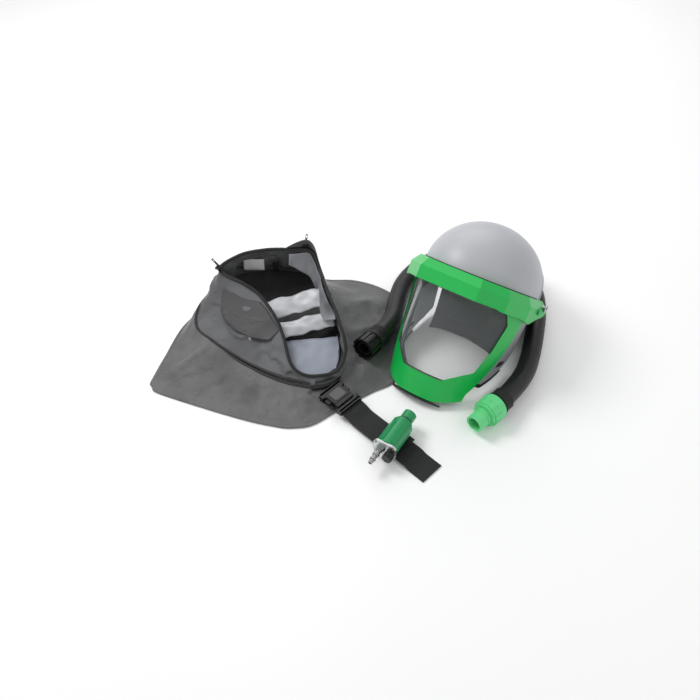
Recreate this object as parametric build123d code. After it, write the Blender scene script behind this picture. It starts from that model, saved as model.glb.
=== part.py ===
from build123d import *
import math
import os

# Respirator kit laid out on a table: helmet tilted back on its chin, breathing tube
# around it, cape with its neck opening up, and a waist belt with the air valve.
# Millimetres. Layout: +X to the right, +Y away from the viewer, +Z up.

# ---------------------------------------------------------------- driving dimensions
ORIGIN = (-2.4, -49.2)                 # layout point that becomes the row origin

HELMET_AT = (244.0, 72.0, 118.3)    # centre of the brow plane
HELMET_YAW = -39.5
HELMET_PITCH = 43.0
HELMET_ROLL = -5.0
SHELL_A = 106.0                     # half width of the shell at the brow line
SHELL_B = 135.0                     # half length
SHELL_H = 101.0                     # crown height over the brow line
SHELL_WALL = 3.0
SHELL_DROP = 28.0                   # skirt below the brow line behind the ears
LINER_WALL = 4.0
ARCH_PROUD = 1.4                    # the raised arch stands this far off the shell
INLET_R = 19.0
INLET_BORE_R = 13.0
INLET_LENGTH = 33.0
INLET_Z = 50.0
HEAD_A = 80.0                       # half width and half length of the headband
HEAD_B = 97.0
KNOB_Z = -40.0
STRAP_T = 1.6
STRAP_WIDTH = 20.0
PIVOT_Y = 28.0
PIVOT_Z = -10.0
PIN_R = 3.5
HINGE_PLAY = 0.05

VISOR_TOP_A = 114.0                 # half width and depth of the visor at the brow
VISOR_TOP_B = 147.0
VISOR_LOW_A = 97.0                  # and at the chin
VISOR_LOW_B = 112.0
VISOR_LOW_C = 9.0
VISOR_LOW_Z = -240.0
FRAME_WALL = 3.0
LENS_WALL = 1.2
LENS_OVERLAP = 6.5                  # lens behind the frame, all round
LENS_SEAL_WALL = 0.8
FACE_RING_INSET = 12.0
FACE_RING_WALL = 3.0
LIP_INSET = 1.5                     # chin lip under the visor's lower edge

TUBE_R = 18.0
TUBE_BORE_R = 14.0
TUBE_Z = 18.6
NUT_R = 23.0
SPIGOT_PLAY = 0.05
VALVE_PIN_R = 12.0
VALVE_BORE_R = 12.25

BELT_AT = (-18.0, -126.0)           # buckle centre
BELT_HEADING = -44.5
BELT_LENGTH = 216.0
WEB_WIDTH = 47.0
WEB_T = 1.8

VALVE_AT = 132.0                    # distance of the valve from the buckle, along the belt
VALVE_HEADING = 58.0

VALVE_R = 19.0
BRACKET_T = 2.8
WEB_LOW = 4.2                       # underside of the belt where it passes the valve

CAPE_CLOTH = 3.5
LINING_T = 2.0
CLOTH_GAP = 1.6                     # between the tube and the cloth over it
PULL_LENGTH = 17.0
FAR = 200.0                         # past any edge of the helmet or the collar

NODES = {}


def add(node, shape):
    NODES[node] = shape


def pos(x, y, z=0.0, heading=0.0):
    return Location((x, y, z)) * Location((0, 0, 0), (0, 0, heading))


def cyl(r, z0, z1):
    return Pos(0, 0, z0) * extrude(Circle(r), z1 - z0)


def tube_ring(r_out, r_in, z0, z1):
    return cyl(r_out, z0, z1) - cyl(r_in, z0 - 1, z1 + 1)


def block(x0, x1, y0, y1, z0, z1):
    box = Box(x1 - x0, y1 - y0, z1 - z0)
    return Pos((x0 + x1) / 2, (y0 + y1) / 2, (z0 + z1) / 2) * box


def side_prism(points, half=160.0):
    """Outline in helmet Y, Z, extruded to both sides along X."""
    return extrude(Plane.YZ * make_face(Polyline(*points, close=True)), half, both=True)


def front_prism(sketch, y_from=-20.0, depth=190.0):
    """Outline in helmet X, Z, extruded forward."""
    plane = Plane(origin=(0, y_from, 0), x_dir=(1, 0, 0), z_dir=(0, -1, 0))
    return extrude(plane * sketch, depth)


def oval(a, b, y=0.0, z=0.0):
    return Pos(0, y, z) * Ellipse(a, b)


def mirrored(points):
    return points + [(-x, y) for x, y in reversed(points)]


# ---------------------------------------------------------------- helmet, in its own frame
# x = wearer's left, y = back, z = up; the origin is the centre of the brow plane.
def dome(inset, z_low):
    """Solid half egg: an ellipsoid cap on a straight skirt."""
    a = SHELL_A - inset
    b = SHELL_B - inset
    h = SHELL_H - inset
    cap = scale(Sphere(1), by=(a, b, h)) & block(-FAR, FAR, -FAR, FAR, 0, FAR)
    skirt = extrude(oval(a, b, z=z_low), -z_low)
    return cap + skirt


def visor_radii(z):
    t = z / VISOR_LOW_Z
    a = VISOR_TOP_A + (VISOR_LOW_A - VISOR_TOP_A) * t
    b = VISOR_TOP_B + (VISOR_LOW_B - VISOR_TOP_B) * t
    return a, b, VISOR_LOW_C * t


def visor_cone(inset, z_top=4.0, z_low=VISOR_LOW_Z):
    """Tapered oval block whose front is the visor surface moved inward by inset."""
    faces = []
    for z in (z_low, z_top):
        a, b, c = visor_radii(z)
        faces.append(oval(a - inset, b - inset, c, z))
    return loft(faces, ruled=True)


def lens_outline(grow=0.0):
    half = [(93, -38), (98, -60), (91, -110), (79, -158), (38, -191)]
    face = make_face(Polyline(*mirrored(half), close=True))
    face = fillet(face.vertices(), 9)
    return offset(face, amount=grow) if grow else face


def shell_edge_cut():
    """Everything under the brow line, up to the slanting edge behind the ear."""
    return side_prism([(-FAR, 0), (12, 0), (32, -SHELL_DROP), (32, -80), (-FAR, -80)])


def inlet_hole(radius):
    return extrude(Plane.XZ.offset(-FAR) * Pos(0, INLET_Z) * Circle(radius), 120)


def arch_panel():
    """Raised arch behind the ears, standing just proud of the shell."""
    arch = Polyline((32, -40), (34, 10), (50, 42), (76, 56), (100, 50), (160, 10), (160, -40), close=True)
    face = fillet(make_face(arch).vertices().sort_by(Axis.Y)[1:4], 14)
    skin = dome(-ARCH_PROUD, -SHELL_DROP) - dome(0.5, -SHELL_DROP)
    return skin & extrude(Plane.YZ * face, 160, both=True)


def build_shell():
    shell = dome(0, -SHELL_DROP) - dome(SHELL_WALL, -SHELL_DROP - 10)
    panel = arch_panel()
    shell = shell + panel - shell_edge_cut() - inlet_hole(INLET_R)
    pin_hole = Plane.YZ * Pos(PIVOT_Y, PIVOT_Z) * Circle(PIN_R)
    add("helmet_shell", shell - extrude(pin_hole, 160, both=True))

    trim = dome(-1.6, -SHELL_DROP - 2) - dome(SHELL_WALL + 1.4, -SHELL_DROP - 10)
    trim_top = -SHELL_DROP + 4
    trim = trim & side_prism([(34, trim_top), (34, -60), (FAR, -60), (FAR, trim_top)])
    add("shell_trim", trim - dome(0, -SHELL_DROP) - panel)

    gap = SHELL_WALL + 0.5
    liner = dome(gap, -24) - dome(gap + LINER_WALL, -40)
    liner = liner - side_prism([(-FAR, 2), (16, 2), (36, -22), (36, -80), (-FAR, -80)])
    add("crown_liner", liner - inlet_hole(INLET_R + 1.5))

    inner = extrude(oval(SHELL_A - 3.4, SHELL_B - 3.4, z=-6), 8)
    seal = extrude(oval(SHELL_A - 0.4, SHELL_B - 0.4, z=-5), 5) - inner
    lip = extrude(oval(SHELL_A + 1.0, SHELL_B + 1.0, z=-5), 6.5) - extrude(oval(SHELL_A, SHELL_B, z=-6), 9)
    seal = (seal + lip) & block(-FAR, FAR, -FAR, 8, -20, 20)
    add("brow_seal", seal)


def build_inlet():
    """Rear air inlet: a short collar through the shell with two bayonet lugs."""
    collar = tube_ring(INLET_R, INLET_BORE_R, 0, INLET_LENGTH)
    collar = collar + tube_ring(INLET_R + 3, INLET_BORE_R, INLET_LENGTH - 4, INLET_LENGTH)
    lugs = Pos(0, 0, INLET_LENGTH - 2) * (Box(4, 46, 3) & cyl(23.0, -5, 5))
    collar = collar + (lugs - cyl(INLET_BORE_R, 0, 40))
    place = Plane(origin=(0, 104, INLET_Z), x_dir=(1, 0, 0), z_dir=(0, 1, 0)).location
    add("air_inlet", place * collar)


def band(a, b, wall, z0, z1, y_from=-300.0, y_to=300.0, y=4.0):
    ring = extrude(oval(a, b, y, z0), z1 - z0) - extrude(oval(a - wall, b - wall, y, z0 - 1), z1 - z0 + 2)
    return ring & block(-FAR, FAR, y_from, y_to, z0 - 1, z1 + 1)


def build_ratchet():
    """Rear of the headband with its gear teeth, the hole for the knob and the knob."""
    knob_axis = Plane.XZ.offset(-120) * Pos(0, KNOB_Z)
    rear = band(HEAD_A, HEAD_B, 2.0, -36, -18, y_from=20.05) - extrude(knob_axis * Circle(6.6), 30)
    rear = rear + (block(-13, 13, 99.2, 101.0, -50, -20) - extrude(knob_axis * Circle(4.05), 30))
    teeth = []
    for i in range(17):
        angle = math.radians(34 + 7 * i)
        x = (HEAD_A + 1) * math.cos(angle)
        y = 4 + (HEAD_B + 1) * math.sin(angle)
        teeth.append(Pos(x, y, -23.5) * Rot(0, 0, math.degrees(angle)) * Box(3, 3, 8))
    add("ratchet_band", rear + teeth)
    knob = cyl(11.0, 0, 8)
    knob = knob - list(PolarLocations(11.2, 16) * extrude(Circle(1.2), 8))
    boss = cyl(4.0, -3, 0) + cyl(6.0, -4.5, -2.5)
    at = Plane(origin=(0, 101.5, KNOB_Z), x_dir=(1, 0, 0), z_dir=(0, 1, 0)).location
    add("ratchet_knob", at * (knob + boss))


def crown_strap(plane, reach, height):
    """Arched strap over the crown, cut off where it meets the headband."""
    face = Ellipse(reach, height) - Ellipse(reach - STRAP_T, height - STRAP_T)
    arch = extrude(plane * face, STRAP_WIDTH / 2, both=True)
    return Pos(0, 4, 0) * arch & block(-FAR, FAR, -FAR, FAR, -13.9, FAR)


def build_headgear():
    add("headband", band(HEAD_A, HEAD_B, 2.0, -42, -14, y_to=20))
    add("brow_pad", band(HEAD_A - 3.4, HEAD_B - 3.4, 7.0, -44, -12, y_to=-44))
    add("nape_cradle", band(HEAD_A - 4, HEAD_B - 5, 3.0, -62, -44, y_from=48))
    build_ratchet()
    # the lengthwise strap lies on top of the cross strap
    add("crown_strap_cross", crown_strap(Plane.XZ, HEAD_A - 0.5, 87.6))
    add("crown_strap_long", crown_strap(Plane.YZ, HEAD_B - 0.5, 90.4))


RING_SIDE = [(-160, -6), (6, -6), (6, -40), (-18, -60), (-26, -110), (-44, -160), (-60, -198),
             (-62, -208), (-86, -229), (-86, -240), (-160, -240)]
GUARD_SIDE = [(-12, -46), (34, -34), (46, -50), (50, -90), (32, -114), (2, -142), (-36, -176),
              (-50, -176), (-32, -120), (-20, -70)]
GUARD_SLOT = [(-14, -128), (4, -124), (0, -134), (-20, -140)]
GUARD_CLIP = [(-13, -129.5), (3, -125.5), (0, -132.5), (-17, -137.5)]
GUARD_HEM = [(2, -142.1), (-36, -176.1), (-50, -176.1), (-52, -183), (-36, -183), (10, -143)]


def visor_skin(inset, wall):
    """Shell of the visor cone between two insets."""
    return visor_cone(inset) - visor_cone(inset + wall, 6, VISOR_LOW_Z - 10)


def build_face_parts():
    """Fixed ring behind the visor, its chin lip and the two side guards."""
    ring = visor_skin(FACE_RING_INSET, FACE_RING_WALL) & side_prism(RING_SIDE)
    ring = ring - front_prism(lens_outline(-1.0), -10.0)
    lip = visor_skin(LIP_INSET, FACE_RING_INSET + FACE_RING_WALL - LIP_INSET) & block(-62, 62, -FAR, -86, -238, -234.5)
    add("face_ring", ring + lip)
    guard = visor_skin(8.0, 3.0) & side_prism(GUARD_SIDE)
    guard = guard - side_prism(GUARD_SLOT)
    for node, side in (("side_guard_left", 1), ("side_guard_right", -1)):
        half = block(min(0, side * FAR), max(0, side * FAR), -FAR, FAR, -300, 10)
        add(node, guard & half)
    add("guard_clips", visor_skin(7.0, 4.5) & side_prism(GUARD_CLIP))
    add("guard_edges", visor_skin(7.6, 3.8) & side_prism(GUARD_HEM))


FRAME_SIDE = [(-170, 1), (14, 1), (34, 0), (46, -8), (46, -18), (34, -27), (8, -34), (-22, -46),
              (-25, -80), (-36, -120), (-50, -160), (-66, -200), (-66, -214), (-98, -232.5),
              (-170, -232.5)]
LENS_SIDE = [(-170, -30), (-29, -30), (-31, -80), (-41, -120), (-55, -160), (-70, -196),
             (-76, -214), (-170, -214)]


BAR_SIDE = [(-170, 0), (34, 0), (46, -8), (46, -18), (34, -27), (8, -34), (-22, -46), (-60, -40),
            (-170, -40)]
FRAME_FRONT = [(126, 6), (122, -140), (98, -192), (60, -233)]
BAR_PLAN = [(58, -151), (98, -106), (118, -42), (122, 48)]
CATCH_SHAPE = [(-9, -1), (-4, -6), (7, -3), (9, 3), (3, 6), (-6, 4)]


def brow_bar():
    """Faceted bar across the brow, chamfered along its top, hollow for the shell."""
    plan = make_face(Polyline(*mirrored(BAR_PLAN), close=True))
    bar = extrude(Pos(0, 0, -46) * plan, 31) + extrude(Pos(0, 0, -15) * plan, 15, taper=36)
    hollow = extrude(oval(SHELL_A + 2.0, SHELL_B + 2.5, z=-60), 90)
    return (bar - hollow) & side_prism(BAR_SIDE)


def build_visor():
    outer = make_face(Polyline(*mirrored(FRAME_FRONT), close=True))
    ring = visor_skin(0, FRAME_WALL) & front_prism(outer, 60.0, 260.0)
    ring = ring & block(-FAR, FAR, -FAR, FAR, -300, -36)
    frame = (ring + brow_bar()) & side_prism(FRAME_SIDE)
    frame = frame - front_prism(lens_outline(0.0), -10.0)
    hole = extrude(Plane.YZ * Pos(PIVOT_Y, PIVOT_Z) * Circle(PIN_R + HINGE_PLAY), 160, both=True)
    arm_clearance = SHELL_A + ARCH_PROUD + 0.3
    frame = frame - hole - block(-arm_clearance, arm_clearance, -20, 60, -50, 5)
    window = front_prism(lens_outline(LENS_OVERLAP), -10.0) & side_prism(LENS_SIDE)
    frame = frame - (visor_cone(FRAME_WALL) & window)
    add("visor_frame", frame)
    add("visor_lens", visor_skin(FRAME_WALL, LENS_WALL) & window)
    seal = visor_skin(FRAME_WALL + LENS_WALL, LENS_SEAL_WALL) & window
    add("lens_seal", seal - front_prism(lens_outline(1.5), -8.0, FAR))
    build_visor_hardware(frame)


def build_visor_hardware(frame):
    """Pivot pins with hex sockets and the lozenge catches beside them."""
    pins = []
    catches = []
    lozenge = fillet(make_face(Polyline(*CATCH_SHAPE, close=True)).vertices(), 1.5)
    for side in (1, -1):
        pin = cyl(PIN_R, 100.6, 122) + cyl(7.0, 122.2, 124.4) + cyl(PIN_R, 121.5, 123)
        pin = pin - Pos(0, 0, 123.2) * extrude(RegularPolygon(2.4, 6), 3)
        plane = Plane(origin=(0, PIVOT_Y, PIVOT_Z), x_dir=(0, 1, 0), z_dir=(side, 0, 0))
        pins.append(plane.location * pin)
        plane = Plane(origin=(side * 119.6, 6, -19), x_dir=(0, 1, 0), z_dir=(side, 0, 0))
        catches.append(plane.location * extrude(lozenge, 3.4) - frame)
    add("pivot_pins", Compound(children=pins))
    add("visor_catches", Compound(children=catches))


# ---------------------------------------------------------------- breathing tube, in the layout
# From the helmet end, down off the cape's shoulder, around the helmet and over the table
# edge side to the green coupling.
TUBE_ROUTE = [(42, -8, 34), (80, 42, 28), (90, 105, 20), (108, 173, 19.5), (169, 237, 18.6),
              (257, 251, 18.6), (335.5, 209.5, 18.6), (372.5, 128.5, 18.6), (338, -18, 18.6),
              (306, -101, 25.5), (256, -150, 25.5)]


def bend_radii(pts):
    radii = []
    for before, at, after in zip(pts, pts[1:], pts[2:]):
        run_in = at - before
        run_out = after - at
        half_turn = math.radians(run_in.get_angle(run_out)) / 2
        radii.append(0.45 * min(run_in.length, run_out.length) / math.tan(half_turn))
    return radii


def sweep_ring(r_out, r_in, path):
    start = Plane(origin=path @ 0, z_dir=path % 0)
    outer = sweep(start * Circle(r_out), path=path)
    if r_in <= 0:
        return outer
    return outer - sweep(start * Circle(r_in), path=path)


def build_tube():
    pts = [Vector(*point) for point in TUBE_ROUTE]
    radii = bend_radii(pts)
    print("tube bend radii", [round(r) for r in radii])
    path = FilletPolyline(*pts, radius=radii)
    tube = sweep_ring(TUBE_R, TUBE_BORE_R, path)
    section = math.pi * (TUBE_R ** 2 - TUBE_BORE_R ** 2)
    ratio = tube.volume / (section * path.length)
    print("tube length", round(path.length, 1), "volume ratio", round(ratio, 4))
    add("breathing_tube", tube)
    build_helmet_end(pts)
    build_valve_end(pts)
    clear = sweep_ring(TUBE_R + CLOTH_GAP, 0, path)
    out = (pts[0] - pts[1]).normalized()
    mouth = Plane(origin=pts[0] - out * 30, z_dir=out)
    return clear + mouth.location * cyl(NUT_R + CLOTH_GAP, 0, 64)


def build_helmet_end(pts):
    out = (pts[0] - pts[1]).normalized()
    at = Plane(origin=pts[0], z_dir=out).location
    cuff = tube_ring(20.5, TUBE_R, -26, -1)
    for z in (-22, -17, -12):
        cuff = cuff - tube_ring(21.5, 19.7, z, z + 2)
    add("helmet_end_cuff", at * cuff)
    spigot = tube_ring(TUBE_BORE_R, 11.0, -24, 27) + tube_ring(16.5, 13.0, 0.2, 3)
    add("helmet_end_spigot", at * spigot)
    nut = tube_ring(NUT_R, TUBE_BORE_R + SPIGOT_PLAY, 4, 18) + tube_ring(NUT_R, 18.5, 18, 30)
    castle = PolarLocations(NUT_R + 0.6, 12) * Box(5.2, 4.6, 30)
    nut = nut - [Pos(0, 0, 20) * gap for gap in castle]
    add("helmet_end_nut", at * nut)


def build_valve_end(pts):
    out = (pts[-1] - pts[-2]).normalized()
    at = Plane(origin=pts[-1], z_dir=out).location
    cuff = tube_ring(20.8, TUBE_R, -20, -1) + tube_ring(22.0, TUBE_R, -4, -1)
    add("valve_end_cuff", at * cuff)
    spigot = tube_ring(TUBE_BORE_R, 11.0, -22, 17.5) + tube_ring(16.0, VALVE_BORE_R, 19.5, 62)
    spigot = spigot + tube_ring(16.0, 11.0, 17.5, 19.6) + tube_ring(16.9, VALVE_BORE_R, 40, 43)
    spigot = spigot - tube_ring(VALVE_BORE_R + 1.6, 5, 30, 33)
    add("coupling_spigot", at * spigot)
    body = extrude(RegularPolygon(25.5, 12), 26)
    body = Pos(0, 0, 5) * body
    nut = body + tube_ring(23.0, 10, 2, 6) + tube_ring(22.5, 10, 30, 35)
    nut = nut - cyl(TUBE_BORE_R + SPIGOT_PLAY, 0, 17.4) - cyl(17.0, 17.4, 40)
    nut = nut + tube_ring(17.5, 16.0 + SPIGOT_PLAY, 28, 35)
    notches = PolarLocations(25.6, 12) * Box(2.4, 3.4, 14)
    nut = nut - [Pos(0, 0, 25) * notch for notch in notches]
    add("coupling_nut", at * nut)
    add("spigot_o_ring", at * tube_ring(VALVE_BORE_R + 1.6, VALVE_BORE_R, 30, 33))


# ---------------------------------------------------------------- belt, x along the belt from the buckle
def web_strip(points, half_width, wall=WEB_T):
    """Strap whose underside follows points in x, z."""
    top = [(x, z + wall) for x, z in reversed(points)]
    face = make_face(Polyline(*(points + top), close=True))
    return extrude(Plane.XZ * face, half_width, both=True)


WEB_LINE = [(17, 11.4), (29, 11.4), (62, WEB_LOW), (172, WEB_LOW), (186, 0.4), (BELT_LENGTH, 0.2)]


def buckle_housing():
    """Female half: hollow housing with thumb notches in both sides and a slot for the strap."""
    outline = Polyline((-29, -21), (-24, -26), (7.6, -26), (7.6, 26), (-24, 26), (-29, 21), close=True)
    housing = Pos(0, 0, 7.5) * extrude(fillet(make_face(outline).vertices(), 1.5), 12)
    housing = fillet(housing.edges().filter_by(GeomType.LINE).group_by(Axis.Z)[-1], 1.2)
    housing = housing - block(-17, 9, -19.2, 19.2, 10.3, 16.8)
    notch = block(-15.5, 9, 18.9, 30, 0, 30)
    notch = fillet(notch.edges().filter_by(Axis.Z).group_by(Axis.X)[0], 3.5)
    housing = housing - notch - mirror(notch, Plane.XZ)
    return housing - block(-26.5, -22.5, -24.0, 24.0, 0, 30) - block(-30, -22, -24.2, 24.2, 0, 9.6)


def buckle_frame():
    """Male half without its arms: slotted frame with a centre tongue."""
    base = block(8, 28.8, -26, 26, 9, 19)
    base = base - block(15, 19, -24.2, 24.2, 4, 30) - block(23, 26.5, -24.2, 24.2, 4, 30)
    base = base - block(14, 31, -24.2, 24.2, 11.2, 13.6)
    base = base - block(5, 16, -27, -19.5, 0, 40) - block(5, 16, 19.5, 27, 0, 40)
    return base + block(-16, 9, -4.5, 4.5, 11.5, 15.5)


def build_belt():
    at = pos(BELT_AT[0], BELT_AT[1], 0, BELT_HEADING)
    add("belt_webbing", at * web_strip(WEB_LINE, WEB_WIDTH / 2))
    hem = web_strip([(BELT_LENGTH + 0.05, 0.0), (BELT_LENGTH + 1.2, 0.0)], WEB_WIDTH / 2 - 0.2, 2.2)
    add("webbing_end_seal", at * hem)
    add("buckle_male", at * buckle_frame())
    for node, side in (("buckle_arm_left", 1), ("buckle_arm_right", -1)):
        arm = block(-12, 7.9, 15, 18.2, 11.4, 15.6) + block(-12, -1, 15, 25.5, 10.6, 16.4)
        arm = arm if side > 0 else mirror(arm, Plane.XZ)
        add(node, at * arm)
    add("buckle_female", at * buckle_housing())
    plate = Pos(-6, 0, 19.5) * extrude(fillet(Rectangle(20, 26).vertices(), 3), 0.6)
    add("buckle_badge", at * plate)
    stub = web_strip([(-31, 7.4), (-22.6, 7.4)], WEB_WIDTH / 2)
    add("webbing_stub", at * stub)


SCREWS = [(-17, -12), (17, -12), (-17, 11), (17.5, 12)]
PLUG_X = -7.0                       # air plug and flow knob on the valve's end plate
KNOB_AT = (11.5, 2.0)
PLUG_STEPS = [(6.0, -44, -32), (8.0, -41, -36.1), (4.6, -50, -43), (6.0, -54, -50), (4.2, -61, -54),
              (5.4, -64, -61), (3.9, -71, -64)]


def build_bracket(here, web_top):
    """Loop that holds the valve on the belt."""
    top = web_top + BRACKET_T + 0.4
    half = WEB_WIDTH / 2 + 4
    bracket = block(-21, 21, -half, half, web_top + 0.4, top) + block(-16, 16, -half, half, 1.2, 3.8)
    for y0, y1 in ((half - 3.2, half), (-half, -half + 3.2)):
        bracket = bracket + block(-16, 16, y0, y1, 1.2, top)
    add("belt_bracket", here * bracket)
    return top


def valve_barrel():
    """Ribbed barrel with a flat foot, bored for the cartridge and the outlet."""
    body = Pos(0, 0, -32) * extrude(Circle(VALVE_R), 60)
    body = chamfer(body.edges().group_by(Axis.Z)[-1], 3.0)
    ribs = PolarLocations(VALVE_R, 6) * Box(2.2, 5.0, 44)
    body = body + [Pos(0, 0, -6) * rib for rib in ribs]
    body = body + block(-13, 13, 10, VALVE_R, -30, 26)
    return body - cyl(14.2, -40, 18) - cyl(8.0, 10, 40) - cyl(VALVE_PIN_R, 22, 40)


def build_valve():
    """Valve on its bracket; its local z runs along the barrel towards the outlet."""
    here = pos(BELT_AT[0], BELT_AT[1], 0, BELT_HEADING) * Location((VALVE_AT, 0, 0))
    top = build_bracket(here, WEB_LOW + WEB_T)
    turn = VALVE_HEADING - BELT_HEADING - 90.0
    lie_down = Location((0, 0, 0), (-90, 0, 0))
    at = here * Location((0, 0, top + VALVE_R)) * Location((0, 0, 0), (0, 0, turn)) * lie_down
    add("valve_body", at * valve_barrel())
    spigot = tube_ring(VALVE_PIN_R, 8.0, 22, 52) + tube_ring(VALVE_PIN_R + 3.4, 8.0, 28, 31)
    groove = tube_ring(VALVE_PIN_R, VALVE_PIN_R - 1.4, 33, 35.4)
    add("valve_outlet", at * (spigot - groove))
    add("outlet_o_ring", at * groove)
    add("valve_cartridge", at * (cyl(14.0, -31.8, 16) - cyl(9.5, -27, 17)))
    lid = Pos(0, -1.0, -36) * extrude(fillet(Rectangle(42, 33).vertices(), 8), 3.9)
    lid = lid - Pos(PLUG_X, 0, 0) * cyl(6.0, -40, -30) - Pos(*KNOB_AT, 0) * cyl(3.05, -40, -30)
    heads = []
    for x, y in SCREWS:
        lid = lid - Pos(x, y, 0) * cyl(2.2, -37, -30)
        heads.append(Pos(x, y, 0) * (cyl(2.2, -37.2, -32.2) - cyl(1.1, -38, -36)))
    add("valve_lid", at * lid)
    add("lid_screws", at * Compound(children=heads))
    plug = cyl(*PLUG_STEPS[0])
    for step in PLUG_STEPS[1:]:
        plug = plug + cyl(*step)
    add("air_plug", at * (Pos(PLUG_X, 0, 0) * (plug - cyl(2.4, -80, -31))))
    grips = PolarLocations(8.8, 12) * (Pos(0, 0, -50) * extrude(Circle(1.0), 13))
    knob = cyl(8.6, -50, -38) - list(grips)
    add("flow_knob", at * (Pos(*KNOB_AT, 0) * (knob + cyl(3.0, -38, -32.0))))


# ---------------------------------------------------------------- cape, in the layout
SIDE_SEAM = [(-600, -281), (-363, -82), (-290, -4), (-140, 30), (60, 60), (400, 60), (400, -500),
             (-600, -500)]          # the front panel's side of the side seams
RIM_SLOPE = 0.361                   # the neck opening leans forward
RIM_FRONT = (-88.0, 26.0)           # y and height of its lowest point
RIM = [(-64, -88), (-25, -79), (-9, -50), (-10, -22), (-24, 24), (-53, 100), (-72, 150),
       (-116, 154), (-162, 153), (-210, 142), (-246, 113), (-200, 86), (-169, 64), (-138, 22),
       (-122, -14), (-108, -62), (-90, -82)]
FOOT = [(-62, -97), (-30, -84), (-14, -54), (-12, -16), (-16, 36), (-30, 100), (-56, 152),
        (-106, 180), (-170, 182), (-236, 158), (-286, 96), (-292, 34), (-262, 2), (-222, -30),
        (-180, -58), (-128, -84), (-92, -95)]
FOOT_Z = 5.0
HEM = [(-363, -82), (-341, -112), (-204, -160), (-97, -184), (-62, -176), (-14, -140), (78, -80),
       (84, -30), (80, 40), (74, 110), (40, 172), (-10, 192), (-90, 196), (-180, 180),
       (-262, 128), (-318, 66), (-352, -40)]


def rim_height(y):
    return RIM_FRONT[1] + RIM_SLOPE * (y - RIM_FRONT[0])


def shrink(points, d):
    cx = sum(p[0] for p in points) / len(points)
    cy = sum(p[1] for p in points) / len(points)
    out = []
    for x, y in points:
        r = math.hypot(x - cx, y - cy)
        out.append((cx + (x - cx) * (r - d) / r, cy + (y - cy) * (r - d) / r))
    return out


def flat_loop(points, z):
    return Wire([Spline(*[(x, y, z) for x, y in points], periodic=True)])


def collar_solid(inset):
    foot = flat_loop(shrink(FOOT, inset), FOOT_Z)
    rim = Wire([Spline(*[(x, y, rim_height(y)) for x, y in shrink(RIM, inset)], periodic=True)])
    return Solid.make_loft([foot, rim])


def shoulder_height(x, y):
    return 12.0 + 0.07 * (y + 97) - 0.03 * x


def build_cape(tube_space):
    outer = collar_solid(0)
    inner = collar_solid(CAPE_CLOTH)
    low_cut = block(-400, FAR, -300, 300, -20, FOOT_Z + 3)
    hollow = inner - low_cut
    collar = outer - hollow
    hem = Polyline(*[(x, y, 0.0) for x, y in HEM], close=True)
    top = Polyline(*[(x, y, shoulder_height(x, y)) for x, y in shrink(FOOT, -3)], close=True)
    mound = Solid.make_loft([hem, top], ruled=True)
    buckle = pos(BELT_AT[0], BELT_AT[1], 0, BELT_HEADING)
    buckle_space = buckle * block(-48, 48, -27.5, 27.5, 6.6, 60)
    mound = mound - outer - tube_space - buckle_space
    front = make_face(Polyline(*SIDE_SEAM, close=True))
    front_space = Pos(0, 0, -50) * extrude(front, 400)
    add("cape_front", mound & front_space)
    add("cape_back", mound - front_space)
    add("cape_collar", collar)
    build_zip(outer)
    build_lining(hollow)


def build_zip(outer):
    """Zip tape around the rim, its two sliders and pull tabs."""
    rim_plane = Plane(origin=(0, RIM_FRONT[0], RIM_FRONT[1]), x_dir=(1, 0, 0), z_dir=(0, -RIM_SLOPE, 1))
    lean = math.hypot(1, RIM_SLOPE)
    outline = [(x, (y - RIM_FRONT[0]) * lean) for x, y in shrink(RIM, -1.2)]
    outside = make_face([Spline(*outline, periodic=True)])
    outline = [(x, (y - RIM_FRONT[0]) * lean) for x, y in shrink(RIM, CAPE_CLOTH + 1.0)]
    inside = make_face([Spline(*outline, periodic=True)])
    tape = rim_plane.location * extrude(outside - inside, 4.0)
    add("zip_tape", tape)
    for node, at, heading in (("a", (-247, 113), 150), ("b", (-84, 158), 80)):
        z = rim_height(at[1]) + 7.8
        place = pos(at[0], at[1], z, heading)
        bridge = Pos(0, 0, 2.4) * (Box(2, 8, 3) - Box(3, 4, 1.6))
        add("zip_slider_" + node, place * (Box(9, 11, 3.2) + bridge))
        tab = Pos(PULL_LENGTH / 2, 0, 0) * (Box(PULL_LENGTH, 4, 1.4) - Pos(4, 0, 0) * Box(5, 2, 3))
        add("zip_pull_" + node, place * (Pos(0, 0, 4.9) * (Rot(0, -40, 0) * tab)))


PANEL = [(-180, -60), (60, -60), (60, 82), (-180, 62)]
BAND_LOW = [(-190, 64), (60, 92), (60, 124), (-190, 92)]
BAND_HIGH = [(-200, 104), (60, 134), (60, 172), (-200, 140)]
BAND_LIFT = 3.2


def lining_layer(points, lift, hollow):
    """Flat layer of lining, leaning back inside the collar."""
    plane = Plane(origin=(0, -70, 12 + lift), x_dir=(1, 0, 0), z_dir=(0, -0.29, 1))
    face = make_face(Polyline(*points, close=True))
    return (plane.location * extrude(face, LINING_T)) & hollow


def build_lining(hollow):
    """Satin lining across the inside of the front, two bands over a panel, and the label."""
    add("lining_panel", lining_layer(PANEL, 0.0, hollow))
    add("lining_band_low", lining_layer(BAND_LOW, BAND_LIFT, hollow))
    add("lining_band_high", lining_layer(BAND_HIGH, 2 * BAND_LIFT + 0.2, hollow))
    wall = hollow - collar_solid(CAPE_CLOTH + 1.2)
    add("care_label", wall & block(-206, -166, 90, FAR, 66, 88))
    add("size_tab", wall & block(-150, -140, 90, FAR, 52, 76))


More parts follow.
